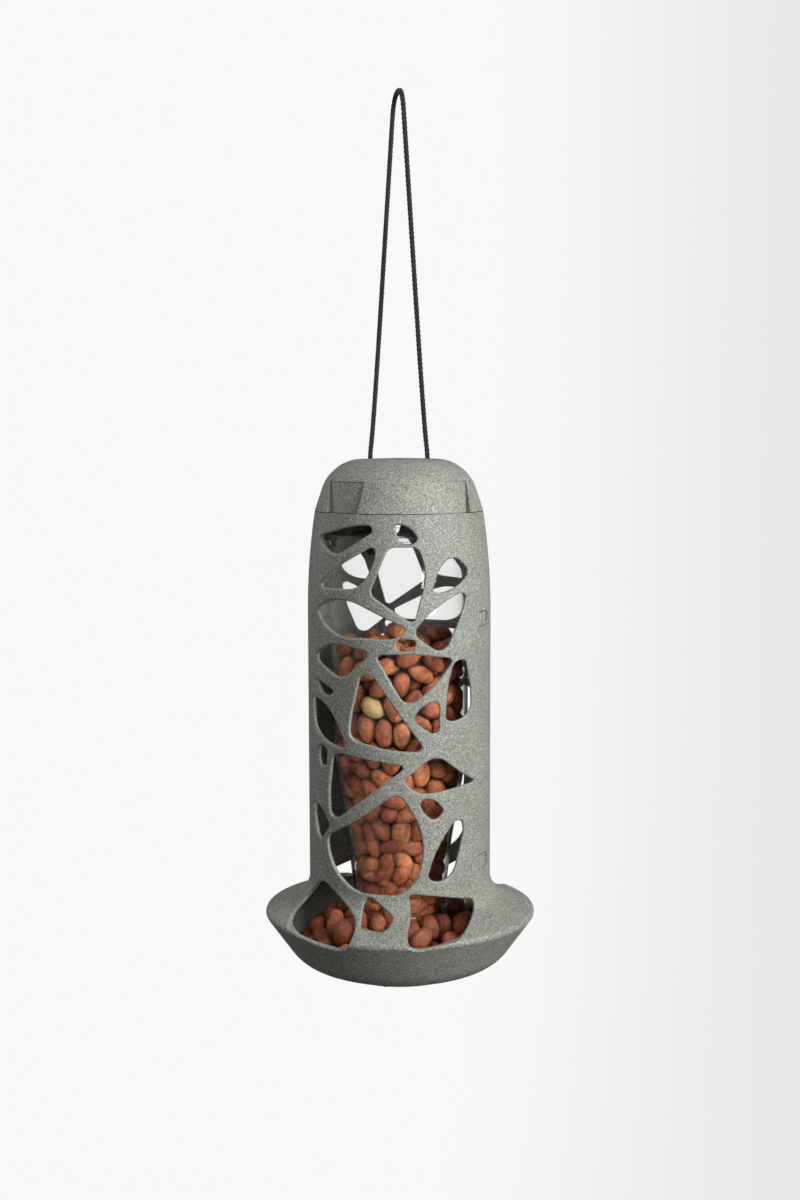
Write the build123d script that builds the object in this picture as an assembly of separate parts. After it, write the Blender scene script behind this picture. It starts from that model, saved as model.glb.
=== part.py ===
from build123d import *
import os
from math import atan, degrees, pi, radians, sin, tan

# A hanging peanut feeder. Two identical half mouldings snap together into a windowed tube
# that stands in a saucer tray. A clear container inside holds the nuts and hangs on a bar,
# and a domed cap slides up the cord that the whole feeder hangs from.
# Millimetres, +Z up. The front half is centred on -Y and the seams between the halves lie
# in the XZ plane. Heights below are measured from the tray's underside; the finished pieces
# are lowered so that the origin is the hanging point, the inside top of the cord's loop.

FAR = 300.0
TOUCHING = 0.01

# ---- Shell: one half moulding, used twice ----
WALL = 2.5
TUBE_R = 45.8
SHOULDER_Z = 185.0
MOUTH_R = 42.0
MOUTH_Z = 234.8
BASE_FLAT_R = 29.0
BOWL_KNEE = (52.0, 8.5)
RIM_TIP = (69.6, 33.1)
FLANGE_ROOT_Z = 42.6
BASE_ROUND = 25.0
BOWL_ROUND = 22.0
RIM_ROUND = 2.5
FLANGE_ROUND = 13.0
SEAM_GAP = 0.1

# ---- Groove inside the mouth that traps the container's rim ----
LEDGE_R = 38.2
LEDGE_THICK = 1.8
RIM_PLAY = 0.2

# ---- Snap fingers and tongues on the seams ----
CLIP_HEIGHTS = (184.0, 63.0)
SEAM_SIDE = (38.0, 50.0)
CLIP_SLOT = (2.9, 5.6)
CLIP_SLOT_FROM_SEAM = 6.6
CLIP_PLAY = 0.2
FINGER_LENGTH = 16.0
SLIT_WIDTH = 0.5
SLIT_DROP = 2.2
SLIT_RISE = 1.0
TONGUE_THICK = 1.5
TONGUE_HEIGHT = 8.0
TONGUE_REACH = 8.8
CATCH_SETBACK = 2.0

# ---- Clear container: its side from neck to mouth as (radius, height) ----
CONTAINER_WALL = 1.4
CONTAINER_R = 34.5
CONTAINER_RIM_R = 39.7
CONTAINER_RIM_Z = 221.6
CONTAINER_RIM_THICK = 2.6
NECK_R = 23.0
NECK_Z = 27.0
NECK_BEADS = (28.6, 33.0)
NECK_BEAD_R = 1.1
CONTAINER_CORNERS = [(NECK_R, NECK_Z), (NECK_R + 0.5, 42.0), (26.4, 69.0), (CONTAINER_R, 115.0),
                     (CONTAINER_R, CONTAINER_RIM_Z + CONTAINER_RIM_THICK)]
CONTAINER_ROUNDS = [40.0, 60.0, 80.0]

# ---- Cap, drawn with its cord holes on the X axis ----
CAP_TURN = 11.0
CAP_TOP_Z = 261.2
CAP_CORNERS = [(26.3, 260.5), (36.6, 251.5)]
CAP_ROUNDS = [20.0, 20.0]
CAP_WALL = 4.4
SPIGOT_R = 39.0
SPIGOT_WALL = 1.8
SPIGOT_DEPTH = 5.0
SEAT_GAP = 0.4
CORD_HOLE_D = 6.0
CORD_HOLE_SHIFT = 1.5
# Each grip is hollowed down to a cone, inside an outline drawn square to it as (across, height).
# The cone stops a little inside the dome, which leaves a small step and no slivers.
GRIP_FLOOR = [(39.6, 234.0), (36.2, 250.2)]
GRIP_OUTLINE = [(-11.3, 234.0), (9.7, 234.0), (9.7, 252.0), (-15.0, 252.0)]
GRIP_ANGLE = 49.5

# ---- Hanger bar, knots and cord, in line with the cap's holes ----
BAR_WIDTH = 9.0
BAR_THICK = 4.0
BAR_REACH = 37.6
BAR_Z = 217.4
BAR_HOLE_D = 3.2
BAR_PLAY = 0.2
BAR_ROUND = 2.0
KNOT_R = 3.2
KNOT_HEIGHT = 5.0
KNOT_ROUND = 1.6
KNOT_TOP_Z = BAR_Z - 0.1
CORD_D = 2.4
CORD_HALF_SPACING = 13.5
CORD_BEND_SHARE = 0.45
LOOP_TOP_Z = 439.0
CORD_ROUTE = [(CORD_HALF_SPACING, 0, KNOT_TOP_Z), (CORD_HALF_SPACING, 0, 262), (2.3, -13.5, LOOP_TOP_Z),
              (-2.3, 13.5, LOOP_TOP_Z), (-CORD_HALF_SPACING, 0, 262), (-CORD_HALF_SPACING, 0, KNOT_TOP_Z)]
HANG_Z = LOOP_TOP_Z - CORD_D / 2

# ---- Nuts ----
NUT_PLAY = 0.4
NUT_FILL_Z = 183.0
NUT_BED_Z = 25.0

# ---- Windows: outlines on the half's face as (x, z, corner radius) ----
# A corner marked SMOOTH is rounded as far as its two sides allow. The mouth windows cross the
# groove and two feeding windows cross the rim, so only their outside edges are rounded.
SMOOTH = 0.0
SIDE_SHARE = 0.49
WINDOW_ROUND = 0.9
EDGE_ROUNDS = {"upper centre": 0.6, "pip": 0.6, "triangle": 0.8, "right leaf": 0.7,
               "feeding middle": 0.7}
OUTSIDE_ONLY = ("mouth leaf", "mouth oval", "feeding left", "feeding right")
WINDOWS = {
    "mouth leaf": [(-35, 223.2, 2.6), (-12, 229.8, SMOOTH), (0, 229, 2), (-24, 213.8, 8)],
    "mouth oval": [(6, 230.6, 1.6), (13.5, 229.5, SMOOTH), (18.4, 221.3, 2.4), (9.2, 220.5, 3)],
    "feeding left": [(-31.8, 54, 4.5), (-19.5, 46.8, SMOOTH), (-8.4, 36.6, 6),
                     (-12.5, 28.8, SMOOTH), (-24, 29.3, SMOOTH), (-48.2, 33.8, 2.4)],
    "feeding right": [(12.8, 51.8, 2), (25, 50, SMOOTH), (40.2, 45.4, 4), (42.6, 39.5, SMOOTH),
                      (40.8, 33.8, SMOOTH), (21, 30.6, SMOOTH), (15.2, 33.8, SMOOTH),
                      (15, 42, SMOOTH)],
    "upper left": [(-2.2, 220.6, 2), (-24, 208.6, SMOOTH), (-33.5, 198.6, 1.6),
                   (-9.5, 199.3, SMOOTH), (-2.8, 212.5, SMOOTH)],
    "upper centre": [(3.8, 219.4, 5), (17.2, 219.4, 4), (22.2, 208, SMOOTH), (16, 182.6, 2.2),
                     (-5.2, 197, 4)],
    "upper right": [(32.4, 215.8, 3.4), (27.2, 209.5, SMOOTH), (23.6, 196.9, 2.2),
                    (33.6, 198.8, SMOOTH), (39, 206.6, 6)],
    "long left": [(-35, 187.4, 4), (-27.3, 193.7, SMOOTH), (-14.5, 193.8, SMOOTH),
                  (12.8, 180.8, 1.8), (8.2, 175.7, SMOOTH), (-25.5, 175.8, SMOOTH)],
    "wide right": [(38, 198.2, 1.8), (35.9, 186, SMOOTH), (28.8, 167.4, 4), (15.4, 178.2, 4),
                   (25, 190.8, SMOOTH)],
    "pip": [(6.8, 172.8, SMOOTH), (9.2, 176.1, 1.8), (17.4, 175.2, 1.8), (15.6, 169.7, 2),
            (9, 169.9, SMOOTH)],
    "left kite": [(-37, 163.8, 3.4), (-26.8, 173, SMOOTH), (-3.8, 169.4, 2.2), (-19.2, 155, 7)],
    "triangle": [(-2.2, 167.8, 1.6), (15, 169.2, SMOOTH), (33.2, 165.4, 2),
                 (25.4, 152.4, SMOOTH), (12.4, 142.6, 5)],
    "left crescent": [(-36.8, 154.6, 0.9), (-23.4, 149, 1.2), (-28.5, 145.6, SMOOTH),
                      (-32.8, 148.6, SMOOTH)],
    "right leaf": [(37.4, 165.2, 1.8), (33.2, 163.4, SMOOTH), (30.8, 153, SMOOTH),
                   (29.6, 134.8, 2.6), (36.2, 135.2, SMOOTH), (39.6, 139.6, SMOOTH),
                   (39.6, 150, SMOOTH)],
    "middle left": [(-9.4, 158.7, 2.6), (-3.4, 157.4, 3.4), (21.4, 121.3, 2.4),
                    (8, 121.3, SMOOTH), (-15.8, 126.6, 5.5), (-14.9, 137, SMOOTH)],
    "left fin": [(-38.2, 144.4, 1.4), (-29.5, 143.4, SMOOTH), (-22, 133, SMOOTH),
                 (-16.8, 121.2, 1.8), (-29.5, 123.6, SMOOTH), (-37, 129.5, SMOOTH)],
    "tilted oval": [(26.9, 147, 2.6), (26.9, 127, 2.6), (15.6, 136.2, 3.2), (18.2, 142, SMOOTH)],
    "left pip": [(-32.6, 122, 1.6), (-28.4, 119.4, 2), (-29, 111.4, 2), (-32.6, 110.8, 1.4),
                 (-34.4, 116, SMOOTH)],
    "lower left": [(-24.6, 119.4, 5), (13, 114.4, 1.6), (-26.2, 83.6, 3.6), (-27.6, 98, SMOOTH)],
    "fish": [(10.8, 107.2, 2.4), (25.8, 119.6, 6), (41.2, 103.4, 1), (29, 101.2, SMOOTH),
             (17.4, 100.1, SMOOTH)],
    "right pip": [(18.2, 98.3, 2.4), (25.2, 97.6, SMOOTH), (28.8, 91.6, 2.6), (25.4, 86.6, 2.6),
                  (19.6, 91.2, SMOOTH)],
    "slit": [(35.2, 88.2, 1.6), (36.9, 81, SMOOTH), (33.2, 61.5, SMOOTH), (29.5, 56.6, SMOOTH),
             (21.6, 57.4, 3.2), (25, 71.5, SMOOTH)],
    "large oval": [(-28.4, 76.8, 5), (-6, 90.6, SMOOTH), (8.2, 102.2, 5), (17.8, 87, SMOOTH),
                   (20.4, 73, SMOOTH), (17.2, 58.4, SMOOTH), (10, 50.8, SMOOTH),
                   (-13, 51.1, SMOOTH), (-24, 60.4, SMOOTH), (-28, 69.4, SMOOTH)],
    "left slot": [(-37.8, 91.6, 1.4), (-31.6, 90.2, SMOOTH), (-27, 82, 2.4), (-33.8, 72.8, 1.6),
                  (-37, 81, SMOOTH)],
    "feeding middle": [(-6, 50.8, 2.6), (7.9, 40.6, 2.2), (5, 36.5, SMOOTH), (-8.2, 37.2, 2),
                       (-9, 44.6, SMOOTH)],
}


def turned(half_face):
    """Turn a half outline, drawn as (radius, height), about the Z axis."""
    return revolve(Plane.XZ * half_face, Axis.Z)


def ring(inner_r, outer_r, z_from, z_to):
    """A plain tube between two heights."""
    standing = (Align.CENTER, Align.CENTER, Align.MIN)
    body = Cylinder(outer_r, z_to - z_from, align=standing)
    bore = Cylinder(inner_r, z_to - z_from, align=standing)
    return Pos(0, 0, z_from) * (body - bore)


def span_box(x, y, z):
    """A box given by its two limits on each axis."""
    corner = (Align.MIN, Align.MIN, Align.MIN)
    return Pos(x[0], y[0], z[0]) * Box(x[1] - x[0], y[1] - y[0], z[1] - z[0], align=corner)


def inset_half(half_face, inset):
    """Move a half outline's outside inward by the inset, leaving its axis side alone."""
    whole = offset(half_face + mirror(half_face, Plane.YZ), -inset)
    return whole & Pos(FAR / 2, MOUTH_Z / 2) * Rectangle(FAR, 2 * FAR)


def below(half_face, z):
    """The part of a half outline that lies under a height."""
    return half_face & Pos(FAR / 2, z - FAR / 2) * Rectangle(FAR, FAR)


def shell_outline():
    """The shell's outside from the middle of the base to the mouth, closed on the axis."""
    corners = [(0, 0), (BASE_FLAT_R, 0), BOWL_KNEE, RIM_TIP, (TUBE_R, FLANGE_ROOT_Z),
               (TUBE_R, SHOULDER_Z)]
    lower = FilletPolyline(*corners, radius=[BASE_ROUND, BOWL_ROUND, RIM_ROUND, FLANGE_ROUND])
    shoulder_height = MOUTH_Z - SHOULDER_Z
    shoulder_turn = 2 * degrees(atan((TUBE_R - MOUTH_R) / shoulder_height))
    shoulder_r = shoulder_height / sin(radians(shoulder_turn))
    shoulder = JernArc((TUBE_R, SHOULDER_Z), (0, 1), shoulder_r, shoulder_turn)
    closing = Polyline(shoulder @ 1, (0, MOUTH_Z), (0, 0))
    return make_face(Curve() + [lower, shoulder, closing])


def whole_shell(outside):
    """The tube, flange and tray as one hollow turning, with the rim groove in its mouth."""
    inside = turned(inset_half(shell_outline(), WALL))
    mouth = ring(0, MOUTH_R - WALL, MOUTH_Z - 2 * WALL, MOUTH_Z + WALL)
    shell = outside - inside - mouth
    groove_top = CONTAINER_RIM_Z + CONTAINER_RIM_THICK + RIM_PLAY
    groove_bottom = CONTAINER_RIM_Z - RIM_PLAY
    shell += ring(LEDGE_R, MOUTH_R, groove_top, groove_top + LEDGE_THICK)
    shell += ring(LEDGE_R, MOUTH_R, groove_bottom - LEDGE_THICK, groove_bottom)
    return shell


def runs_along_y(edge):
    """True for the straight edges that cross the wall where a window's side bends."""
    return edge.geom_type == GeomType.LINE and abs(edge.tangent_at(0.5).Y) > 0.99


def window_face(outline):
    """A window's outline as a face, with every corner rounded."""
    points = [Vector(x, z) for x, z, corner_round in outline]
    rounds = [corner_round for x, z, corner_round in outline]
    count = len(points)
    half_turns = []
    for i in range(count):
        arriving = points[i] - points[i - 1]
        leaving = points[(i + 1) % count] - points[i]
        half_turns.append(tan(radians(arriving.get_angle(leaving)) / 2))
    radii = []
    for i in range(count):
        room = []
        for j in ((i - 1) % count, (i + 1) % count):
            side = (points[j] - points[i]).length
            room.append(SIDE_SHARE * side if rounds[j] == SMOOTH else
                        2 * SIDE_SHARE * side - rounds[j] * half_turns[j])
        radii.append(min(room) / half_turns[i] if rounds[i] == SMOOTH else rounds[i])
    return make_face(FilletPolyline(*points, radius=radii, close=True))


def open_window(half, outside, name):
    """Cut one window through the half's face and round its edges."""
    cutter = extrude(Plane.XZ * window_face(WINDOWS[name]), FAR)
    opened = half - cutter
    skin = Shell(outside.faces())
    old_edges = set(half.edges())
    window_edges = []
    for edge in opened.edges():
        if edge in old_edges or runs_along_y(edge) or cutter.distance_to(edge @ 0.5) > TOUCHING:
            continue
        if name in OUTSIDE_ONLY and skin.distance_to(edge @ 0.5) > TOUCHING:
            continue
        window_edges.append(edge)
    return fillet(window_edges, EDGE_ROUNDS.get(name, WINDOW_ROUND))


def cut_finger(half, height):
    """Free a snap finger on the +X seam: a slot for the catch, and a slit above and below."""
    slot_width, slot_height = CLIP_SLOT
    slot_near = -CLIP_SLOT_FROM_SEAM + slot_width / 2
    slot_far = -CLIP_SLOT_FROM_SEAM - slot_width / 2
    slot_top = height + slot_height / 2
    half -= span_box(SEAM_SIDE, (slot_far, slot_near), (slot_top - slot_height, slot_top))
    half -= span_box(SEAM_SIDE, (-FINGER_LENGTH, slot_near), (slot_top - SLIT_WIDTH, slot_top))
    slit_low = slot_top - slot_height - SLIT_DROP
    slit_points = [(-FINGER_LENGTH, slit_low), (slot_near + slot_width, slit_low + SLIT_RISE),
                   (slot_near + slot_width, slit_low + SLIT_RISE + SLIT_WIDTH),
                   (-FINGER_LENGTH, slit_low + SLIT_WIDTH)]
    slit = extrude(Plane.YZ * make_face(Polyline(*slit_points, close=True)), FAR)
    return half - (slit & span_box(SEAM_SIDE, (-FAR, 0), (0, MOUTH_Z)))


def snap_tongue(height):
    """A tongue on the -X seam that reaches behind the other half and fills its slot."""
    slot_width, slot_height = CLIP_SLOT
    face_r = TUBE_R - WALL - CLIP_PLAY
    far_side = (-SEAM_SIDE[1], -SEAM_SIDE[0])
    z = (height - TONGUE_HEIGHT / 2, height + TONGUE_HEIGHT / 2)
    blade = ring(face_r - TONGUE_THICK, face_r, *z) & span_box(far_side, (-TONGUE_REACH, TONGUE_REACH), z)
    root = ring(face_r - TONGUE_THICK, face_r + 2 * CLIP_PLAY, *z)
    root &= span_box(far_side, (-TONGUE_REACH, -SEAM_GAP), z)
    catch_y = (CLIP_SLOT_FROM_SEAM - slot_width / 2 + CLIP_PLAY,
               CLIP_SLOT_FROM_SEAM + slot_width / 2 - CLIP_PLAY)
    catch_z = (height - slot_height / 2 + CLIP_PLAY, height + slot_height / 2 - SLIT_WIDTH - CLIP_PLAY)
    catch = ring(face_r - TONGUE_THICK / 2, TUBE_R - CATCH_SETBACK, *catch_z)
    catch &= span_box(far_side, catch_y, catch_z)
    return blade + root + catch


def front_shell():
    """One half moulding of the shell, with every window, finger and tongue."""
    outside = turned(shell_outline())
    half = whole_shell(outside) & span_box((-FAR, FAR), (-FAR, -SEAM_GAP / 2), (-1, MOUTH_Z + 1))
    for name in WINDOWS:
        half = open_window(half, outside, name)
    for height in CLIP_HEIGHTS:
        half = cut_finger(half, height) + snap_tongue(height)
    return half


def cap():
    """The domed lid: four finger grips, two cord holes and a spigot that sits in the mouth."""
    side = FilletPolyline((0, CAP_TOP_Z), *CAP_CORNERS, (MOUTH_R, MOUTH_Z + SEAT_GAP),
                          radius=CAP_ROUNDS)
    closing = Polyline(side @ 1, (0, MOUTH_Z + SEAT_GAP), (0, CAP_TOP_Z))
    outline = make_face(Curve() + [side, closing])
    lid = turned(outline) - turned(inset_half(outline, CAP_WALL))
    lid -= ring(0, SPIGOT_R - SPIGOT_WALL, MOUTH_Z - CAP_WALL, MOUTH_Z + 1.5 * CAP_WALL)
    lid += ring(SPIGOT_R - SPIGOT_WALL, SPIGOT_R, MOUTH_Z - SPIGOT_DEPTH, MOUTH_Z + CAP_WALL)
    (floor_r, floor_z), (top_r, top_z) = GRIP_FLOOR
    floor = turned(make_face(Polyline((0, floor_z), (floor_r, floor_z), (top_r, top_z),
                                      (0, top_z), close=True)))
    grip_face = Plane.YZ * make_face(Polyline(*GRIP_OUTLINE, close=True))
    grip = extrude(grip_face, FAR) & ring(0, FAR / 2, floor_z, top_z)
    grip = Rot(0, 0, GRIP_ANGLE) * (grip - floor)
    for grip in (grip, mirror(grip, Plane.XZ)):
        lid -= grip
        lid -= mirror(grip, Plane.YZ)
    for side_sign in (-1, 1):
        hole_x = side_sign * (CORD_HALF_SPACING + CORD_HOLE_SHIFT)
        lid -= Pos(hole_x, 0, CAP_TOP_Z) * Cylinder(CORD_HOLE_D / 2, 4 * CAP_WALL)
    return Rot(0, 0, CAP_TURN) * lid


def container_outline(inset):
    """The clear container's side from its neck to its mouth, moved inward by the inset."""
    corners = [(r - inset, z) for r, z in CONTAINER_CORNERS]
    side = FilletPolyline(*corners, radius=CONTAINER_ROUNDS)
    closing = Polyline(side @ 1, (0, corners[-1][1]), (0, corners[0][1]), side @ 0)
    return make_face(Curve() + [side, closing])


def feed_container():
    """The clear nut container, open at both ends, with a trapped rim and a beaded neck."""
    tube = turned(container_outline(0)) - turned(container_outline(CONTAINER_WALL))
    rim_top = CONTAINER_RIM_Z + CONTAINER_RIM_THICK
    tube += ring(CONTAINER_R - CONTAINER_WALL, CONTAINER_RIM_R, CONTAINER_RIM_Z, rim_top)
    for bead_z in NECK_BEADS:
        tube += turned(Pos(NECK_R, bead_z) * Circle(NECK_BEAD_R))
    slot_half_width = BAR_WIDTH / 2 + BAR_PLAY
    bar_slot = span_box((-BAR_REACH, BAR_REACH), (-slot_half_width, slot_half_width),
                        (BAR_Z - BAR_PLAY, CONTAINER_RIM_Z))
    return tube - Rot(0, 0, CAP_TURN) * bar_slot


def hanger_bar():
    """The bar under the container's rim that the cord's two knots pull up against."""
    bar = span_box((-BAR_REACH, BAR_REACH), (-BAR_WIDTH / 2, BAR_WIDTH / 2), (BAR_Z, BAR_Z + BAR_THICK))
    bar = fillet(bar.edges().filter_by(Axis.Z), BAR_ROUND)
    for side_sign in (-1, 1):
        bar -= Pos(side_sign * CORD_HALF_SPACING, 0, BAR_Z) * Cylinder(BAR_HOLE_D / 2, 3 * BAR_THICK)
    return Rot(0, 0, CAP_TURN) * bar


def cord_knot(side_sign):
    """The stopper knot on one end of the cord, under the bar."""
    knot = Cylinder(KNOT_R, KNOT_HEIGHT, align=(Align.CENTER, Align.CENTER, Align.MAX))
    knot = fillet(knot.edges().filter_by(GeomType.CIRCLE), KNOT_ROUND)
    return Rot(0, 0, CAP_TURN) * Pos(side_sign * CORD_HALF_SPACING, 0, KNOT_TOP_Z) * knot


def hanging_cord():
    """One cord from knot to knot, up through the cap and over the branch it hangs from."""
    route = [Vector(*point) for point in CORD_ROUTE]
    radii = []
    for before, corner, after in zip(route, route[1:], route[2:]):
        turn = radians((corner - before).get_angle(after - corner))
        shorter = min((corner - before).length, (after - corner).length)
        radii.append(CORD_BEND_SHARE * shorter / tan(turn / 2))
    print("cord bend radii", [round(r, 1) for r in radii])
    path = FilletPolyline(*route, radius=radii)
    start = Plane(path @ 0, z_dir=path % 0)
    tube = sweep(start * Circle(CORD_D / 2), path=path)
    print("cord length", round(path.length, 1))
    print("cord volume over section times length", tube.volume / (pi * CORD_D ** 2 / 4 * path.length))
    return Rot(0, 0, CAP_TURN) * tube


def nut_column():
    """The nuts standing in the container, as one plain solid."""
    filling = container_outline(CONTAINER_WALL + NUT_PLAY)
    return turned(below(filling, NUT_FILL_Z))


def nut_bed():
    """The nuts lying in the tray, as one plain solid."""
    return turned(below(inset_half(shell_outline(), WALL + NUT_PLAY), NUT_BED_Z))


half_shell = front_shell()
parts = {
    "front_shell": half_shell,
    "rear_shell": Rot(0, 0, 180) * half_shell,
    "cap": cap(),
    "feed_container": feed_container(),
    "hanger_bar": hanger_bar(),
    "hanging_cord": hanging_cord(),
    "knot_left": cord_knot(-1),
    "knot_right": cord_knot(1),
    "nut_column": nut_column(),
    "nut_bed": nut_bed(),
}
os.makedirs("parts", exist_ok=True)
for name, shape in parts.items():
    export_step(Pos(0, 0, -HANG_Z) * shape, f"parts/{name}.step")
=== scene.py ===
import math

import bpy
import numpy as np
from mathutils import Matrix, Vector


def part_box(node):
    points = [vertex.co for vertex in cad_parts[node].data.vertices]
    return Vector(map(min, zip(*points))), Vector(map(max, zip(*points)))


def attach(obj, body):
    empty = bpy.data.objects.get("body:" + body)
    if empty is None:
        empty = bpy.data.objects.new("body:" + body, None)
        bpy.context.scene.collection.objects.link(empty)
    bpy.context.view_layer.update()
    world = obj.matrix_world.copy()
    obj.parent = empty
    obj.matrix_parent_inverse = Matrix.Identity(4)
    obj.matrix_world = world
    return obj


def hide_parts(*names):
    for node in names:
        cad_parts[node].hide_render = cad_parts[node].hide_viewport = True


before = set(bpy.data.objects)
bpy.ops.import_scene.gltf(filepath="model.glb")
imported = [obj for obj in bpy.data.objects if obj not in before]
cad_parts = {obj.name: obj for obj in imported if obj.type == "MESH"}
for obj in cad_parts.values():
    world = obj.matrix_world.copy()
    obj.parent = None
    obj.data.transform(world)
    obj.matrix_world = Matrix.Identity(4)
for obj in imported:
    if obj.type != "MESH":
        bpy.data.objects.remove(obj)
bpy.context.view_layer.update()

# The looks of a hanging peanut feeder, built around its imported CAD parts. The shell, cap, container
# and bar keep their CAD meshes and get materials. The cord, its knots and the nuts are drawn here.
# Heights written in millimetres are measured from the tray's underside, as in the CAD,
# and HANG_MM is the height of the hanging point, which is the frame's origin.

MM = 0.001
HANG_MM = 437.8

# ---- Camera ----
LENS_MM = 50.0
SENSOR_MM = 36.0
CAMERA_AZIMUTH = 12.0
CAMERA_DISTANCE_MM = 832.0
CAMERA_HEIGHT_MM = 274.0
CAMERA_SIDE_MM = 0.4
CAMERA_TILT = 5.76
CAMERA_ROLL = -0.15

# ---- Hanging cord, in line with the cap's holes ----
CAP_TURN = 11.0
# The CAD's route, with two points more on each strand. Its bend at the cap is two points here, which
# take it through the middle of the cap's hole, and one more below the loop lets it bend gently.
CORD_ROUTE_MM = [(13.5, 0, 217.3), (15.0, 0.8, 258), (12.6, -1.1, 276), (3.6, -11.9, 417.8),
                 (2.3, -13.5, 438.8), (-2.3, 13.5, 438.8), (-3.6, 11.9, 417.8),
                 (-12.6, 1.1, 276), (-15.0, -0.8, 258), (-13.5, 0, 217.3)]
# A direction that none of the drawn lines starts along.
OFF_LINE = (0.31, 0.95, 0.05)
CORE_R_MM = 0.9
STRAND_R_MM = 0.42
BRAID_R_MM = 0.80
BRAID_WEAVE_MM = 0.13
BRAID_STRANDS = 8
BRAID_PITCH_MM = 9.0
STRAND_STEP_MM = 0.55
STRAND_SIDES = 6

# ---- Knots under the bar: a trefoil with a cut end ----
KNOT_X_MM = CORD_ROUTE_MM[0][0]
KNOT_TOP_MM = CORD_ROUTE_MM[0][2]
KNOT_DROP_MM = 2.5
KNOT_SPREAD_MM = 0.62
KNOT_DEPTH_MM = 1.25
KNOT_CORD_R_MM = 1.15
KNOT_POINTS = 60
TAIL_FROM_MM = (0.9, 0.2, 0.4)
TAIL_TO_MM = (1.9, 0.8, -2.4)
TAIL_POINTS = 9
TAIL_R_MM = 0.95
KNOT_SIDES = 10

# ---- Studio: the pale room's brightness as seen and as it lights the feeder, its size in metres ----
ROOM_SEEN = 0.94
# The seen room is painted darker towards the right: a painted falloff of the light.
ROOM_SEEN_RIGHT = 0.80
ROOM_GLOW_LOW = 0.13
ROOM_GLOW_HIGH = 0.30
WORLD_STRENGTH = 0.30
ROOM_FLOOR = -1.45
ROOM_TOP = 1.6
ROOM_RADIUS = 2.4
ROOM_BEND = 0.9
ROOM_SIDES = 72
BEND_STEPS = 14
GLOW_REACH = 1.4
LAMP_AIM_MM = 150
LAMPS = [  # name, power, size, azimuth, elevation, distance
    ("key", 24, (0.6, 1.1), 62, 20, 1.20),
    ("front", 3.6, (0.8, 0.8), 14, 34, 1.30),
    ("rim", 4.4, (0.4, 1.2), -100, 26, 1.30),
]

# ---- Nuts ----
KERNEL_WIDTH_MM = 9.2
KERNEL_LENGTH_MM = 13.8
COLUMN_KERNELS = 552
BED_KERNELS = 175
COLUMN_SEED = 7
BED_SEED = 21
KERNEL_RINGS = 13
KERNEL_SIDES = 16
TAN_SHARE = 0.012
# How far the painted shade in the crevices between kernels reaches.
CREVICE_SHADE_MM = 4.5

# ---- How kernels differ from one another ----
KERNEL_RANGE = (0.92, 1.08)
WIDTH_RANGE = (0.96, 1.06)
LENGTH_RANGE = (0.94, 1.03)
FLAT_RANGE = (0.88, 1.0)
BEAK_RANGE = (0.02, 0.09)
BEAK_FROM = 0.86
BEAK_GAIN = 4
TAPER_MOST = 0.16
BEND_MOST = 0.10
WAVE_MOST = 0.028
WAVE_TWIST = 2.2
KERNEL_WAVES = 4
BLUNTNESS = 0.86
DENT_DEPTH = 0.045
DENT_WIDTH = 0.30
TINT_SPREAD = 1.7
PATTERN_REACH_MM = 500

# ---- How the nuts are poured and settled ----
POUR_MARGIN_MM = 8
POUR_FROM_MM = 6
POUR_STACK = 1.9
POUR_EXTRA_MM = 12
PUSH_EASE = 0.7
SETTLE_STEPS = 420
FAST_FALL_STEPS = 280
SLOW_FALL_STEPS = 340
FAST_FALL_MM = 0.9
SLOW_FALL_MM = 0.25
PUSH_ROUNDS = 4
NEIGHBOUR_STEPS = 6
NEIGHBOUR_REACH_MM = 3.0
TINY = 1e-9
# The tray's nuts keep off the container's neck, and are poured from a little higher than the bed.
NECK_R_MM = 24.3
NECK_CLEAR_MM = 1.0
BED_HEAP_MM = 10


def height(mm):
    """A height above the tray's underside, as a z in the frame in metres."""
    return (mm - HANG_MM) * MM


def turned(x_mm, y_mm, z_mm):
    """A point drawn in line with the cap's holes, as a point in the frame in metres."""
    a = math.radians(CAP_TURN)
    return Vector(((x_mm * math.cos(a) - y_mm * math.sin(a)) * MM,
                   (x_mm * math.sin(a) + y_mm * math.cos(a)) * MM, height(z_mm)))


# ================================================================ camera
def add_camera():
    """The photograph's camera: level distance from the axis, height and a small tilt."""
    a = math.radians(CAMERA_AZIMUTH)
    right = Vector((math.cos(a), math.sin(a), 0))
    forward = Vector((-math.sin(a), math.cos(a), 0))
    data = bpy.data.cameras.new("camera")
    data.lens = LENS_MM
    data.sensor_width = SENSOR_MM
    data.sensor_fit = "AUTO"
    data.clip_start, data.clip_end = 0.01, 30.0
    camera = bpy.data.objects.new("camera", data)
    bpy.context.scene.collection.objects.link(camera)
    place = right * CAMERA_SIDE_MM * MM - forward * CAMERA_DISTANCE_MM * MM
    place.z = height(CAMERA_HEIGHT_MM)
    tilt = math.radians(CAMERA_TILT)
    look = forward * math.cos(tilt) - Vector((0, 0, 1)) * math.sin(tilt)
    turn = look.to_track_quat("-Z", "Y")
    roll = Matrix.Rotation(math.radians(CAMERA_ROLL), 4, "Z")
    camera.matrix_world = Matrix.Translation(place) @ turn.to_matrix().to_4x4() @ roll
    bpy.context.scene.camera = camera


# ================================================================ meshes and objects
def mesh_object(name, points, faces):
    """A smooth-shaded mesh in the scene."""
    mesh = bpy.data.meshes.new(name)
    mesh.from_pydata([tuple(p) for p in points], [], faces)
    mesh.update()
    mesh.polygons.foreach_set("use_smooth", [True] * len(mesh.polygons))
    piece = bpy.data.objects.new(name, mesh)
    bpy.context.scene.collection.objects.link(piece)
    return piece


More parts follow.
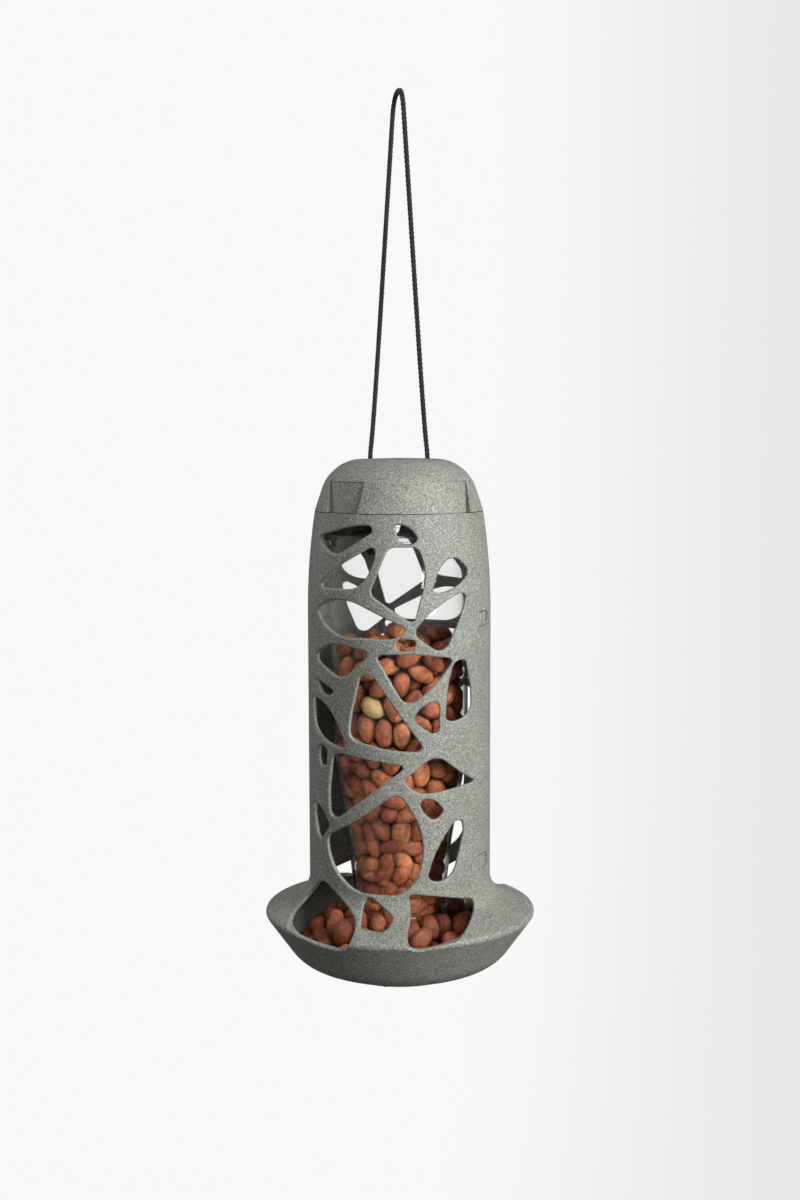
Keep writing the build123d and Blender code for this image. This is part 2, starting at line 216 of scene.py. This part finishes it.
def tube_faces(rings, sides, closed=False):
    """Quads round a tube of point rings, and a fan at each end unless it closes on itself."""
    faces = []
    for i in range(rings if closed else rings - 1):
        a, b = i * sides, (i + 1) % rings * sides
        for j in range(sides):
            k = (j + 1) % sides
            faces.append((a + j, a + k, b + k, b + j))
    if not closed:
        faces.append(tuple(reversed(range(sides))))
        faces.append(tuple(range((rings - 1) * sides, rings * sides)))
    return faces


def shifted(faces, count):
    """The same faces, for points that come after a count of others."""
    return [tuple(i + count for i in face) for face in faces]


def path_frames(line):
    """Unit tangents and two normals along a line of points, carried along without twist."""
    tangent = np.gradient(line, axis=0)
    tangent /= np.linalg.norm(tangent, axis=1)[:, None]
    first = np.cross(tangent[0], OFF_LINE)
    normals = [first / np.linalg.norm(first)]
    for t in tangent[1:]:
        n = normals[-1] - t * (normals[-1] @ t)
        normals.append(n / np.linalg.norm(n))
    normals = np.array(normals)
    return tangent, normals, np.cross(tangent, normals)


def ring_points(line, n, b, radius, sides):
    """Rings of points round a line, in the plane of its two normals."""
    angle = np.arange(sides) * 2 * math.pi / sides
    ring = n[:, None] * np.cos(angle)[None, :, None] + b[:, None] * np.sin(angle)[None, :, None]
    return (line[:, None] + ring * radius).reshape(-1, 3)


def tube_points(line, radius, sides):
    """Rings of points round an open line."""
    _, n, b = path_frames(line)
    return ring_points(line, n, b, radius, sides)


def loop_points(line, radius, sides):
    """Rings of points round a closed line. Each ring starts away from the line's centre."""
    ahead = np.roll(line, -1, 0) - np.roll(line, 1, 0)
    ahead /= np.linalg.norm(ahead, axis=1)[:, None]
    out = line - line.mean(0) + (0, 0, 1e-5)
    n = out - ahead * (out * ahead).sum(1)[:, None]
    n /= np.linalg.norm(n, axis=1)[:, None]
    return ring_points(line, n, np.cross(ahead, n), radius, sides)


# ================================================================ materials
class Nodes:
    """A material's node tree with short calls for making and joining nodes."""

    def __init__(self, name):
        self.material = bpy.data.materials.new(name)
        self.material.use_nodes = True
        self.tree = self.material.node_tree
        self.tree.nodes.clear()
        self.output = self.tree.nodes.new("ShaderNodeOutputMaterial")

    def node(self, kind, **settings):
        """A new node with the given properties."""
        made = self.tree.nodes.new(kind)
        for key, value in settings.items():
            setattr(made, key, value)
        return made

    def join(self, source, target):
        """Link a node's output to an input."""
        self.tree.links.new(source, target)

    def noise(self, vector, scale, detail=2.0, roughness=0.5):
        """The grey value of a noise texture."""
        made = self.node("ShaderNodeTexNoise")
        self.join(vector, made.inputs["Vector"])
        made.inputs["Scale"].default_value = scale
        made.inputs["Detail"].default_value = detail
        made.inputs["Roughness"].default_value = roughness
        return made.outputs["Fac"]

    def ramp(self, source, stops):
        """A colour ramp; stops are (place, colour) with a colour as a grey or three numbers."""
        made = self.node("ShaderNodeValToRGB")
        elements = made.color_ramp.elements
        while len(elements) < len(stops):
            elements.new(0.5)
        for element, (place, colour) in zip(elements, stops):
            element.position = place
            rgb = (colour,) * 3 if isinstance(colour, (int, float)) else colour
            element.color = (*rgb, 1)
        self.join(source, made.inputs["Fac"])
        return made.outputs["Color"]

    def mix(self, share, a, b, blend="MIX"):
        """Mixes two colours; share and the colours may be sockets or plain values."""
        made = self.node("ShaderNodeMix", data_type="RGBA", blend_type=blend)
        for socket, value in ((made.inputs[0], share), (made.inputs[6], a), (made.inputs[7], b)):
            if isinstance(value, bpy.types.NodeSocket):
                self.join(value, socket)
            elif isinstance(value, (int, float)):
                socket.default_value = value
            else:
                socket.default_value = (*value, 1)
        return made.outputs[2]

    def principled(self, roughness, ior, **values):
        """A Principled shader; its other sockets are named with _ for each space."""
        made = self.node("ShaderNodeBsdfPrincipled")
        made.inputs["Roughness"].default_value = roughness
        made.inputs["IOR"].default_value = ior
        for key, value in values.items():
            made.inputs[key.replace("_", " ")].default_value = value
        return made

    def bump(self, source, shader, strength, distance):
        """Small relief on a shader, from a grey value."""
        made = self.node("ShaderNodeBump")
        made.inputs["Strength"].default_value = strength
        made.inputs["Distance"].default_value = distance
        self.join(source, made.inputs["Height"])
        self.join(made.outputs["Normal"], shader.inputs["Normal"])

    def finish(self, shader):
        """Join the shader to the output and give the material."""
        self.join(shader.outputs[0], self.output.inputs["Surface"])
        return self.material


def recycled_plastic():
    """Grey-green plastic moulded from waste, with fine light and dark specks all through it."""
    n = Nodes("recycled_plastic")
    place = n.node("ShaderNodeTexCoord").outputs["Object"]
    grain = n.ramp(n.noise(place, 1200, 4, 0.85), [
        (0.30, (0.040, 0.041, 0.033)), (0.45, (0.150, 0.154, 0.133)),
        (0.54, (0.225, 0.230, 0.202)), (0.68, (0.50, 0.505, 0.465))])
    cloud = n.ramp(n.noise(place, 55, 4, 0.6), [(0.3, 0.90), (0.7, 1.08)])
    colour = n.mix(1.0, grain, cloud, "MULTIPLY")
    flakes = n.node("ShaderNodeTexVoronoi")
    n.join(place, flakes.inputs["Vector"])
    flakes.inputs["Scale"].default_value = 1050
    light = n.ramp(flakes.outputs["Color"], [(0.80, 0), (0.86, 1)])
    dark = n.ramp(flakes.outputs["Color"], [(0.13, 1), (0.19, 0)])
    near = n.ramp(flakes.outputs["Distance"], [(0.25, 1), (0.45, 0)])
    colour = n.mix(n.mix(1.0, light, near, "MULTIPLY"), colour, (0.36, 0.365, 0.33))
    colour = n.mix(n.mix(1.0, dark, near, "MULTIPLY"), colour, (0.045, 0.045, 0.038))
    shader = n.principled(0.55, 1.48)
    n.join(colour, shader.inputs["Base Color"])
    n.join(n.ramp(n.noise(place, 700, 2), [(0.3, 0.48), (0.7, 0.66)]), shader.inputs["Roughness"])
    n.bump(n.noise(place, 1300, 3, 0.6), shader, 0.35, 0.00012)
    return n.finish(shader)


def clear_plastic():
    """Clear moulded plastic with faint flow marks. Lamps reach through it to the nuts."""
    n = Nodes("clear_plastic")
    place = n.node("ShaderNodeTexCoord").outputs["Object"]
    stretch = n.node("ShaderNodeMapping")
    n.join(place, stretch.inputs["Vector"])
    stretch.inputs["Scale"].default_value = (1, 1, 0.12)
    shader = n.principled(0.03, 1.40, Transmission_Weight=1.0, Base_Color=(0.985, 0.99, 0.985, 1))
    n.join(n.ramp(n.noise(stretch.outputs["Vector"], 260, 3), [(0.4, 0.006), (0.75, 0.025)]),
           shader.inputs["Roughness"])
    n.bump(n.noise(stretch.outputs["Vector"], 120, 2), shader, 0.12, 0.0003)
    through = n.node("ShaderNodeBsdfTransparent")
    rays = n.node("ShaderNodeLightPath")
    either = n.node("ShaderNodeMixShader")
    n.join(rays.outputs["Is Shadow Ray"], either.inputs[0])
    n.join(shader.outputs[0], either.inputs[1])
    n.join(through.outputs[0], either.inputs[2])
    return n.finish(either)


def peanut_skin():
    """Red-brown skin with fine veins along each kernel; the odd kernel is tan. Painted shade darkens
    the skin in the crevices between kernels.
    """
    n = Nodes("peanut_skin")
    local = n.node("ShaderNodeAttribute", attribute_name="kernel_place").outputs["Vector"]
    tint = n.node("ShaderNodeAttribute", attribute_name="kernel_tint").outputs["Fac"]
    bare = n.node("ShaderNodeAttribute", attribute_name="kernel_bare").outputs["Fac"]
    long_way = n.node("ShaderNodeMapping")
    n.join(local, long_way.inputs["Vector"])
    long_way.inputs["Scale"].default_value = (1, 1, 0.22)
    veins = n.noise(long_way.outputs["Vector"], 1.7, 4, 0.65)
    blotch = n.noise(local, 0.32, 3, 0.6)
    skin = n.ramp(tint, [(0.0, (0.20, 0.040, 0.014)), (0.35, (0.37, 0.086, 0.026)),
                         (0.65, (0.53, 0.145, 0.044)), (1.0, (0.66, 0.235, 0.080))])
    skin = n.mix(n.ramp(blotch, [(0.35, 0.60), (0.60, 0.0)]), skin, (0.16, 0.030, 0.012))
    skin = n.mix(n.ramp(veins, [(0.36, 0.75), (0.49, 0.0)]), skin, (0.085, 0.017, 0.008))
    skin = n.mix(n.ramp(veins, [(0.58, 0.0), (0.72, 0.45)]), skin, (0.80, 0.34, 0.13))
    chips = n.ramp(n.noise(local, 0.55, 4, 0.7), [(0.72, 0.0), (0.75, 0.8)])
    skin = n.mix(chips, skin, (0.66, 0.45, 0.20))
    tan = n.ramp(veins, [(0.3, (0.42, 0.25, 0.085)), (0.6, (0.66, 0.45, 0.20))])
    # Painted shade: an occlusion test darkens the skin where kernels crowd close, in the crevices
    # between them.
    crevice_shade_ao = n.node("ShaderNodeAmbientOcclusion", samples=4, only_local=True)
    crevice_shade_ao.inputs["Distance"].default_value = CREVICE_SHADE_MM * MM
    painted_crevice_shade = n.ramp(crevice_shade_ao.outputs["AO"], [(0.15, 0.07), (0.80, 1.0)])
    shader = n.principled(0.32, 1.5, Specular_IOR_Level=0.75)
    n.join(n.mix(1.0, n.mix(bare, skin, tan), painted_crevice_shade, "MULTIPLY"), shader.inputs["Base Color"])
    n.join(n.ramp(veins, [(0.3, 0.44), (0.7, 0.24)]), shader.inputs["Roughness"])
    n.bump(veins, shader, 1.0, 0.0009)
    return n.finish(shader)


def black_cord():
    """Black braided yarn: fine fibres along each strand and a soft sheen."""
    n = Nodes("black_cord")
    place = n.node("ShaderNodeTexCoord").outputs["Object"]
    fibre = n.noise(place, 3500, 3, 0.7)
    shader = n.principled(0.72, 1.45, Sheen_Weight=0.10, Sheen_Roughness=0.4)
    n.join(n.ramp(fibre, [(0.35, (0.003, 0.003, 0.003)), (0.7, (0.018, 0.018, 0.018))]),
           shader.inputs["Base Color"])
    n.bump(fibre, shader, 0.6, 0.0001)
    return n.finish(shader)


def studio_glow():
    """The room's pale glow, which is painted light: bright where it is seen, with a painted falloff
    that darkens it towards the right, and dim where it lights the feeder.

    It is seen straight, and through the clear plastic by rays that no surface has mirrored.
    """
    n = Nodes("studio_glow")
    place = n.node("ShaderNodeTexCoord").outputs["Object"]
    xyz = n.node("ShaderNodeSeparateXYZ")
    n.join(place, xyz.inputs[0])
    across = n.node("ShaderNodeMapRange")
    n.join(xyz.outputs["X"], across.inputs["Value"])
    across.inputs["From Min"].default_value = -ROOM_RADIUS
    across.inputs["From Max"].default_value = ROOM_RADIUS
    seen = n.node("ShaderNodeEmission")
    # Painted falloff: the seen glow darkens from left to right.
    painted_falloff = n.ramp(across.outputs["Result"], [(0.43, ROOM_SEEN), (0.56, ROOM_SEEN_RIGHT)])
    painted_falloff.node.color_ramp.interpolation = "EASE"
    n.join(painted_falloff, seen.inputs["Color"])
    upward = n.node("ShaderNodeMapRange")
    n.join(xyz.outputs["Z"], upward.inputs["Value"])
    upward.inputs["From Min"].default_value = -GLOW_REACH
    upward.inputs["From Max"].default_value = GLOW_REACH
    glow = n.node("ShaderNodeEmission")
    n.join(n.ramp(upward.outputs["Result"], [(0.0, ROOM_GLOW_LOW), (1.0, ROOM_GLOW_HIGH)]),
           glow.inputs["Color"])
    rays = n.node("ShaderNodeLightPath")
    straight = n.node("ShaderNodeMath", operation="LESS_THAN")
    n.join(rays.outputs["Glossy Depth"], straight.inputs[0])
    straight.inputs[1].default_value = 0.5
    through = n.node("ShaderNodeMath", operation="MULTIPLY")
    n.join(rays.outputs["Is Transmission Ray"], through.inputs[0])
    n.join(straight.outputs[0], through.inputs[1])
    direct = n.node("ShaderNodeMath", operation="MAXIMUM")
    n.join(rays.outputs["Is Camera Ray"], direct.inputs[0])
    n.join(through.outputs[0], direct.inputs[1])
    either = n.node("ShaderNodeMixShader")
    n.join(direct.outputs[0], either.inputs[0])
    n.join(glow.outputs[0], either.inputs[1])
    n.join(seen.outputs[0], either.inputs[2])
    return n.finish(either)


# ================================================================ hanging cord
def cord_curve():
    """The cord's core, on one smooth spline through the loop from knot to knot."""
    data = bpy.data.curves.new("hanging_cord_core", "CURVE")
    data.dimensions = "3D"
    data.resolution_u = 48
    spline = data.splines.new("NURBS")
    spline.points.add(len(CORD_ROUTE_MM) - 1)
    for point, place in zip(spline.points, CORD_ROUTE_MM):
        point.co = (*turned(*place), 1)
    spline.order_u = 3
    spline.use_endpoint_u = True
    piece = bpy.data.objects.new("hanging_cord_core", data)
    bpy.context.scene.collection.objects.link(piece)
    bpy.context.view_layer.update()
    return piece


def line_of(curve):
    """The points that Blender gives for a curve with no bevel."""
    mesh = bpy.data.meshes.new_from_object(curve)
    line = np.array([v.co for v in mesh.vertices], float)
    bpy.data.meshes.remove(mesh)
    return line


def evenly(line, step):
    """The same line with points a fixed step apart."""
    run = np.r_[0, np.cumsum(np.linalg.norm(np.diff(line, axis=0), axis=1))]
    at = np.linspace(0, run[-1], max(2, int(round(run[-1] / step)) + 1))
    return np.stack([np.interp(at, run, line[:, k]) for k in range(3)], 1)


def braid(line, name):
    """Strands wound both ways round a line, each passing over one and under the next."""
    line = evenly(line, STRAND_STEP_MM * MM)
    _, n, b = path_frames(line)
    run = np.arange(len(line)) * np.linalg.norm(line[1] - line[0])
    points, faces = [], []
    for k in range(BRAID_STRANDS):
        way = 1 if k % 2 == 0 else -1
        angle = way * 2 * math.pi * run / (BRAID_PITCH_MM * MM) + 2 * math.pi * k / BRAID_STRANDS
        over = np.sin(BRAID_STRANDS / 2 * angle + way * math.pi / 4) * way
        r = (BRAID_R_MM + BRAID_WEAVE_MM * over) * MM
        centre = line + (n * np.cos(angle)[:, None] + b * np.sin(angle)[:, None]) * r[:, None]
        faces += shifted(tube_faces(len(line), STRAND_SIDES), len(points))
        points += list(tube_points(centre, STRAND_R_MM * MM, STRAND_SIDES))
    return mesh_object(name, points, faces)


def knot(name, side):
    """An overhand knot pulled tight under the bar, with its cut end hanging down."""
    at = turned(side * KNOT_X_MM, 0, KNOT_TOP_MM - KNOT_DROP_MM)
    t = np.linspace(0, 2 * math.pi, KNOT_POINTS + 1)[:-1]
    line = np.stack([KNOT_SPREAD_MM * (np.sin(t) + 2 * np.sin(2 * t)),
                     KNOT_SPREAD_MM * (np.cos(t) - 2 * np.cos(2 * t)),
                     -KNOT_DEPTH_MM * np.sin(3 * t)], 1) * MM
    points = list(loop_points(line, KNOT_CORD_R_MM * MM, KNOT_SIDES))
    faces = tube_faces(len(line), KNOT_SIDES, closed=True)
    tail = np.linspace(TAIL_FROM_MM, TAIL_TO_MM, TAIL_POINTS) * MM
    faces += shifted(tube_faces(len(tail), KNOT_SIDES), len(points))
    points += list(tube_points(tail, TAIL_R_MM * MM, KNOT_SIDES))
    return mesh_object(name, np.array(points) + np.array(at), faces)


# ================================================================ nuts
def solid_outline(node):
    """Heights and radii in millimetres up the side of a turned CAD solid."""
    co = np.array([v.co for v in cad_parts[node].data.vertices], float) / MM
    z = np.round(co[:, 2], 2)
    heights = np.unique(z)
    radii = np.array([np.hypot(co[z == h, 0], co[z == h, 1]).max() for h in heights])
    return heights, radii


def settle(outline, count, seed, top, keep_off=None):
    """Kernels poured into a turned space and shaken down: each is two joined balls.

    keep_off is a post on the axis, as its radius and the height that it starts at.
    Returns the kernels' centres in millimetres, unit long axes and size factors.
    """
    heights, radii = outline
    rng = np.random.default_rng(seed)
    size = rng.uniform(*KERNEL_RANGE, count)
    r = KERNEL_WIDTH_MM / 2 * size
    half = (KERNEL_LENGTH_MM - KERNEL_WIDTH_MM) / 2 * size
    floor = heights[0]
    spread = np.sqrt(rng.uniform(0, 1, count)) * (radii.max() - POUR_MARGIN_MM)
    angle = rng.uniform(0, 2 * math.pi, count)
    highest = floor + (top - floor) * POUR_STACK + POUR_EXTRA_MM
    lift = np.linspace(floor + POUR_FROM_MM, highest, count)
    centre = np.stack([spread * np.cos(angle), spread * np.sin(angle), lift], 1)
    axis = rng.normal(size=(count, 3))
    axis /= np.linalg.norm(axis, axis=1)[:, None]
    balls = np.stack([centre - axis * half[:, None], centre + axis * half[:, None]], 1)
    owner = np.repeat(np.arange(count), 2)
    radius = r[owner]

    def neighbours(p):
        """Pairs of balls that are close and belong to different kernels."""
        gap = p[:, None] - p[None]
        limit = radius[:, None] + radius[None] + NEIGHBOUR_REACH_MM
        near = (gap ** 2).sum(2) < limit ** 2
        i, j = np.nonzero(np.triu(near, 1))
        apart = owner[i] != owner[j]
        return i[apart], j[apart]

    for step in range(SETTLE_STEPS):
        p = balls.reshape(-1, 3)
        if step % NEIGHBOUR_STEPS == 0:
            i, j = neighbours(p)
            reach = radius[i] + radius[j]
        if step < FAST_FALL_STEPS:
            p[:, 2] -= FAST_FALL_MM
        elif step < SLOW_FALL_STEPS:
            p[:, 2] -= SLOW_FALL_MM
        for _ in range(PUSH_ROUNDS):
            gap = p[i] - p[j]
            far = np.sqrt((gap ** 2).sum(1)) + TINY
            push = np.clip(reach - far, 0, None) * 0.5
            move = gap * (push / far)[:, None]
            shift = np.zeros_like(p)
            for k in range(3):
                shift[:, k] = (np.bincount(i, move[:, k], len(p))
                               - np.bincount(j, move[:, k], len(p)))
            p += shift * PUSH_EASE
            out = np.hypot(p[:, 0], p[:, 1]) + TINY
            wall = np.interp(p[:, 2], heights, radii) - radius
            over = np.clip(out - wall, 0, None)
            p[:, :2] -= p[:, :2] * (over / out)[:, None]
            if keep_off is not None:
                post, above = keep_off
                inside = (p[:, 2] > above) & (out < post + radius)
                p[inside, :2] *= ((post + radius) / out)[inside, None]
            p[:, 2] = np.maximum(p[:, 2], floor + radius)
            pair = p.reshape(-1, 2, 3)
            middle = pair.mean(1)
            along = pair[:, 1] - pair[:, 0]
            along /= np.linalg.norm(along, axis=1)[:, None] + TINY
            balls = np.stack([middle - along * half[:, None], middle + along * half[:, None]], 1)
            p = balls.reshape(-1, 3)
    return balls.mean(1), along, size


def kernel_faces():
    """The faces of one kernel: rings of quads, and a fan of triangles at each tip."""
    last = (KERNEL_RINGS - 1) * KERNEL_SIDES
    top = KERNEL_RINGS * KERNEL_SIDES
    faces = tube_faces(KERNEL_RINGS, KERNEL_SIDES)[:-2]
    faces += [(top, (j + 1) % KERNEL_SIDES, j) for j in range(KERNEL_SIDES)]
    faces += [(top + 1, last + j, last + (j + 1) % KERNEL_SIDES) for j in range(KERNEL_SIDES)]
    return [tuple(reversed(face)) for face in faces]


def kernel_shape(rng, size, lat, lon):
    """One peanut kernel's points: a blunt egg with a dent along it, a small beak and slow waves."""
    w = KERNEL_WIDTH_MM / 2 * size * rng.uniform(*WIDTH_RANGE)
    h = KERNEL_LENGTH_MM / 2 * size * rng.uniform(*LENGTH_RANGE)
    taper = rng.uniform(-TAPER_MOST, TAPER_MOST)
    beak = rng.uniform(*BEAK_RANGE)
    flat = rng.uniform(*FLAT_RANGE)
    waves = rng.uniform(-WAVE_MOST, WAVE_MOST, KERNEL_WAVES)
    phase = rng.uniform(0, 2 * math.pi, KERNEL_WAVES)
    along = np.cos(lat)
    across = np.sin(lat) ** BLUNTNESS * (1 + taper * along)
    from_dent = np.mod(lon - phase[0], 2 * math.pi) - math.pi
    across *= 1 - DENT_DEPTH * np.exp(-(from_dent / DENT_WIDTH) ** 2)
    for k in range(KERNEL_WAVES):
        across *= 1 + waves[k] * np.sin((k + 2) * lon + phase[k] + WAVE_TWIST * along)
    bend = rng.uniform(-BEND_MOST, BEND_MOST) * along ** 2
    x = w * (across * np.cos(lon) + bend)
    y = w * across * np.sin(lon) * flat
    z = h * (along + beak * np.clip(along - BEAK_FROM, 0, None) * BEAK_GAIN)
    around = np.stack([x.ravel(), y.ravel(), z.ravel()], 1)
    tip_x = w * bend[0, 0]
    tip_z = h * (1 + beak * (1 - BEAK_FROM) * BEAK_GAIN)
    return np.vstack([around, (tip_x, 0, tip_z), (tip_x, 0, -h)])


def kernel_cloud(name, centres, axes, sizes, seed):
    """One mesh of peanut kernels, each with its own shape, and the attributes its skin uses."""
    rng = np.random.default_rng(seed)
    latitude = np.linspace(0, math.pi, KERNEL_RINGS + 2)[1:-1]
    turn = np.arange(KERNEL_SIDES) * 2 * math.pi / KERNEL_SIDES
    lat, lon = np.meshgrid(latitude, turn, indexing="ij")
    one = kernel_faces()
    per = KERNEL_RINGS * KERNEL_SIDES + 2
    points, faces, tints, bares, places = [], [], [], [], []
    for c, up in enumerate(axes):
        local = kernel_shape(rng, sizes[c], lat, lon)
        side = np.cross(up, rng.normal(size=3))
        side /= np.linalg.norm(side)
        turned_to = np.stack([side, np.cross(up, side), up], 0)
        faces += shifted(one, c * per)
        points.append(local @ turned_to + centres[c])
        places.append(local + rng.uniform(-PATTERN_REACH_MM, PATTERN_REACH_MM, 3))
        tints.append(np.full(per, rng.beta(TINT_SPREAD, TINT_SPREAD)))
        bares.append(np.full(per, 1.0 if rng.random() < TAN_SHARE else 0.0))
    piece = mesh_object(name, np.vstack(points) * MM, faces)
    mesh = piece.data
    mesh.attributes.new("kernel_place", "FLOAT_VECTOR", "POINT").data.foreach_set(
        "vector", np.vstack(places).astype(np.float32).ravel())
    for key, values in (("kernel_tint", tints), ("kernel_bare", bares)):
        mesh.attributes.new(key, "FLOAT", "POINT").data.foreach_set(
            "value", np.concatenate(values).astype(np.float32))
    return piece


# ================================================================ studio
def add_stage(material):
    """A round white room: a flat floor that curves up into a wall."""
    outline = [(ROOM_RADIUS - ROOM_BEND, ROOM_FLOOR)]
    outline += [(ROOM_RADIUS - ROOM_BEND + ROOM_BEND * math.sin(a),
                 ROOM_FLOOR + ROOM_BEND - ROOM_BEND * math.cos(a))
                for a in np.linspace(0.1, math.pi / 2, BEND_STEPS)]
    outline += [(ROOM_RADIUS, ROOM_TOP)]
    turn = np.arange(ROOM_SIDES) * 2 * math.pi / ROOM_SIDES
    points = [(0, 0, ROOM_FLOOR)]
    for r, z in outline:
        points += [(r * math.cos(a), r * math.sin(a), z) for a in turn]
    faces = [(0, 1 + j, 1 + (j + 1) % ROOM_SIDES) for j in range(ROOM_SIDES)]
    for i in range(len(outline) - 1):
        a, b = 1 + i * ROOM_SIDES, 1 + (i + 1) * ROOM_SIDES
        for j in range(ROOM_SIDES):
            k = (j + 1) % ROOM_SIDES
            faces.append((a + j, b + j, b + k, a + k))
    room = mesh_object("studio_room", points, faces)
    room.data.materials.append(material)


def add_lamp(name, power, size, azimuth, elevation, distance):
    """A soft box that looks at the feeder's body."""
    data = bpy.data.lights.new(name, "AREA")
    data.shape = "RECTANGLE"
    data.size, data.size_y = size
    data.energy = power
    lamp = bpy.data.objects.new(name, data)
    bpy.context.scene.collection.objects.link(lamp)
    a, e = math.radians(azimuth), math.radians(elevation)
    centre = Vector((0, 0, height(LAMP_AIM_MM)))
    back = Vector((math.sin(a) * math.cos(e), -math.cos(a) * math.cos(e), math.sin(e)))
    lamp.location = centre + back * distance
    lamp.rotation_mode = "QUATERNION"
    lamp.rotation_quaternion = (-back).to_track_quat("-Z", "Y")
    lamp.visible_camera = False


def add_world():
    """A plain white world."""
    world = bpy.data.worlds.new("studio")
    bpy.context.scene.world = world
    world.use_nodes = True
    sky = world.node_tree.nodes["Background"].inputs
    sky["Color"].default_value = (1, 1, 1, 1)
    sky["Strength"].default_value = WORLD_STRENGTH


# ================================================================ dressing the pieces
def dress(piece, material):
    """Give a piece its one material, and its slot where it is a new piece."""
    piece.data.materials.clear()
    piece.data.materials.append(material)


def part(piece, material, body="feeder"):
    """Give a new piece its material and slot and let it ride on a body."""
    dress(piece, material)
    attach(piece, body)
    return piece


# ================================================================ build
add_camera()
bpy.context.scene.view_settings.view_transform = "Standard"

plastic = recycled_plastic()
clear = clear_plastic()
skin = peanut_skin()
yarn = black_cord()

for node in ("front_shell", "rear_shell", "cap"):
    dress(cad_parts[node], plastic)
for node in ("feed_container", "hanger_bar"):
    dress(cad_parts[node], clear)

core = cord_curve()
cord_line = line_of(core)
core.data.bevel_depth = CORE_R_MM * MM
core.data.bevel_resolution = 3
core.data.use_fill_caps = True
part(core, yarn)
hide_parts("hanging_cord")
strands = part(braid(cord_line, "hanging_cord_braid"), yarn)
for side, node in ((-1, "knot_left"), (1, "knot_right")):
    tied = part(knot(node + "_tied", side), yarn)
    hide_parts(node)

column = solid_outline("nut_column")
bed = solid_outline("nut_bed")
centres, axes, sizes = settle(column, COLUMN_KERNELS, COLUMN_SEED, column[0][-1])
order = np.argsort(centres[:, 2])
middle = len(order) // 2
for name, chosen in (("nuts_lower", order[:middle]), ("nuts_upper", order[middle:])):
    heap = kernel_cloud(name, centres[chosen], axes[chosen], sizes[chosen], COLUMN_SEED + len(name))
    part(heap, skin)
    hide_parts("nut_column")
neck_low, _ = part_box("feed_container")
centres, axes, sizes = settle(bed, BED_KERNELS, BED_SEED, bed[0][-1] + BED_HEAP_MM,
                              keep_off=(NECK_R_MM, neck_low.z / MM - NECK_CLEAR_MM))
heap = part(kernel_cloud("nuts_tray", centres, axes, sizes, BED_SEED), skin)
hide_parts("nut_bed")

add_stage(studio_glow())
add_world()
for lamp in LAMPS:
    add_lamp(*lamp)
